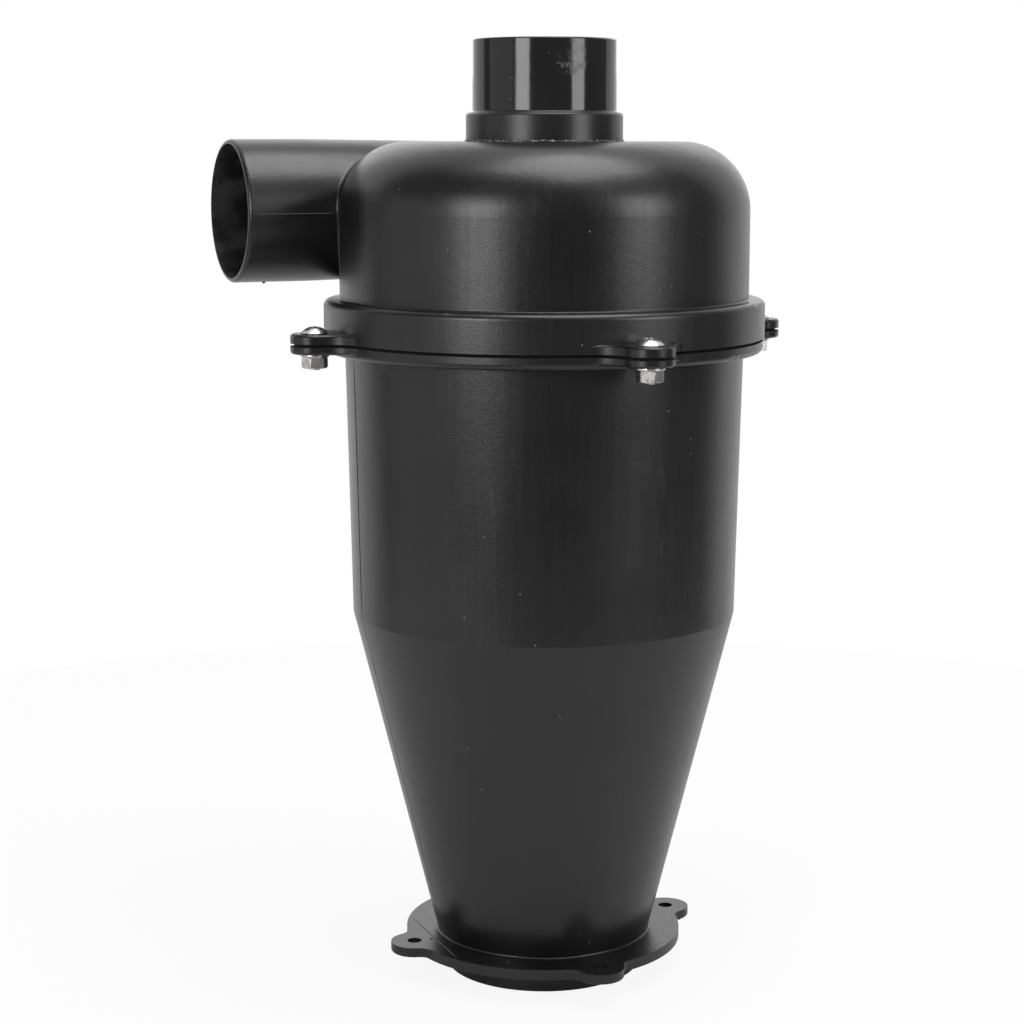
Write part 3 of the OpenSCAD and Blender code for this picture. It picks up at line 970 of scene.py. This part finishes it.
def pin_mark(name, x, y, radius):
    outline = [(0, -0.1), (0, 0.03), (radius * 0.35, 0.03)]
    outline += [(radius * 0.45, -0.05), (radius * 0.75, -0.05)]
    outline += arc(radius, 0, PIN_RIM, 150, 0, 5)
    outline += [(radius + PIN_RIM, -0.1)]
    bm = turned(outline, 28)
    bmesh.ops.translate(bm, vec=(x, y, PLATE_TOP), verts=bm.verts)
    finish_piece(name, bm, body)


pin_mark("pin_mark_front", -28.4, -34.2, 0.85)
pin_mark("pin_mark_left", -44.4, -0.7, 0.5)
print("plate line runs over", round((path[-1] - path[0]).length, 1), "mm")

# %% [markdown]
# The corner between the inlet tube and the drum is softened by a fillet. It is smallest at the near
# side, twice as large right below, and largest above, where the tube runs into the shoulder. A ball
# that rolls in the corner, touching both, gives its shape: at each step the arc between its two
# touching points makes one section, closed by a point inside the plastic, and the sections are lofted.

# %% Roll the fillet round the inlet
SHOULDER_RADIUS = 24
SHOULDER_START = 275.7
FIRST_TURN = -48
LAST_TURN = -242
STEPS = 90
BELOW_STEP = 19
ABOVE_STEP = 56


def ball_middle(turn, ball):
    turn = math.radians(turn)
    middle = Vector((-68, 0, 0))
    for _ in range(4):
        reach = inlet_radius(middle.x) + ball
        middle.y = INLET_Y + reach * math.cos(turn)
        middle.z = INLET_Z + reach * math.sin(turn)
        rise = max(0, middle.z - SHOULDER_START)
        swell = SHOULDER_RADIUS + ball
        out = DRUM_RADIUS - SHOULDER_RADIUS + math.sqrt(swell * swell - rise * rise)
        middle.x = -math.sqrt(out * out - middle.y * middle.y)
    return middle


def fillet_section(turn, ball):
    middle = ball_middle(turn, ball)
    to_tube = Vector((0, INLET_Y - middle.y, INLET_Z - middle.z)).normalized()
    level = Vector((middle.x, middle.y, 0)).normalized()
    core = level * (DRUM_RADIUS - SHOULDER_RADIUS)
    core.z = SHOULDER_START
    if middle.z < SHOULDER_START:
        to_drum = -level
    else:
        to_drum = (core - middle).normalized()
    reach = ball * 1.012
    points = [middle + to_tube.slerp(to_drum, i / 8) * reach for i in range(9)]
    return points + [middle + (to_tube + to_drum) * reach]


sections = []
for i in range(STEPS + 1):
    turn = FIRST_TURN + (LAST_TURN - FIRST_TURN) * i / STEPS
    above = min(1, max(0, i - ABOVE_STEP) / 20)
    below = max(0, 1 - abs(i - BELOW_STEP) / 9)
    ball = 0.5 + 1.2 * above + 0.5 * below
    ball *= min(1, 0.2 + i / 10, 0.1 + (STEPS - i) / 10)
    sections.append(fillet_section(turn, ball))
bm = loft(sections)
fillet = finish_piece("inlet_fillet", bm, body, 60)
print("fillet faces:", len(fillet.data.polygons))

# %% [markdown]
# The outlet tube is glued into the lid, and a rough bead of glue shows at the foot of its collar. It is
# a turned ring whose skin is pushed in and out by smooth noise. The glue has set black with pale
# crumbs in it, so it gets a finish of its own.

# %% Lay the glue bead
BEAD_RING = 27.6
BEAD_HEIGHT = 299.76
BEAD_RADIUS = 0.46

glue, tree, shader, place = start_material("set_glue")
crumbs = add(tree, "ShaderNodeTexNoise", Vector=place, Scale=900.0, Detail=2.0)
share = grade(tree, crumbs.outputs["Fac"], 0.48, 0.6)
mottled = blend_colours(tree, share, (0.006, 0.006, 0.006, 1), (0.16, 0.16, 0.155, 1))
tree.links.new(mottled, shader.inputs["Base Color"])
tree.links.new(maths(tree, "MULTIPLY_ADD", share, 0.2, 0.35), shader.inputs["Roughness"])
tree.links.new(bump_from(tree, crumbs.outputs["Fac"], 0.6, 0.0001), shader.inputs["Normal"])

outline = arc(BEAD_RING, BEAD_HEIGHT, BEAD_RADIUS, 0, 360, 13)
outline[-1] = outline[0]
bm = turned(outline, 360)
for vert in bm.verts:
    wide = noise.noise(vert.co * 1.3)
    narrow = noise.noise(vert.co * 3.1 + Vector((7, 3, 1)))
    lump = 0.8 * wide + 0.9 * narrow
    out = Vector((vert.co.x, vert.co.y, 0)).normalized()
    core = out * BEAD_RING
    core.z = BEAD_HEIGHT
    vert.co = core + (vert.co - core) * (0.95 + 0.8 * lump)
bead = finish_piece("glue_bead", bm, glue, 80)
print("bead faces:", len(bead.data.polygons))

# %% [markdown]
# The inlet's mouth was trimmed by hand: a torn burr hangs on the near side of its inner edge. Under the
# tube there is the stub of a cut feed point.

# %% Leave the burr and the stub
BURR_START = 168
BURR_SPAN = 24
BURR_STEPS = 25
STUB_X = -89.4

path = []
outward = []
for i in range(BURR_STEPS + 1):
    turn = math.radians(BURR_START + BURR_SPAN * i / BURR_STEPS)
    radial = Vector((0, math.cos(turn), math.sin(turn)))
    wander = 0.14 * noise.noise(Vector((i * 0.9, 2, 5)))
    path.append(Vector((MOUTH_X + 0.35, INLET_Y, INLET_Z)) + radial * (MOUTH_BORE + wander))
    outward.append(-radial - Vector((0.5, 0, 0)))
bm = ridge(path, outward, 0.5, 0.28)
for vert in bm.verts:
    vert.co += Vector((0.1, 0.12, 0.12)) * noise.noise(vert.co * 1.7)
    vert.co.x = max(vert.co.x, MOUTH_X + 0.02)
burr = finish_piece("mouth_burr", bm, body, 50)

outline = [(0, -0.2), (0.6, -0.2), (0.55, 0.2), (0.42, 0.42), (0.2, 0.5), (0, 0.46)]
bm = turned(outline, 20)
bmesh.ops.rotate(bm, cent=(0, 0, 0), matrix=Matrix.Rotation(math.pi, 3, "X"), verts=bm.verts)
bmesh.ops.translate(bm, vec=(STUB_X, INLET_Y - 1.5, INLET_Z - INLET_RADIUS), verts=bm.verts)
stub = finish_piece("feed_stub", bm, body)
print("burr faces:", len(burr.data.polygons), "stub faces:", len(stub.data.polygons))
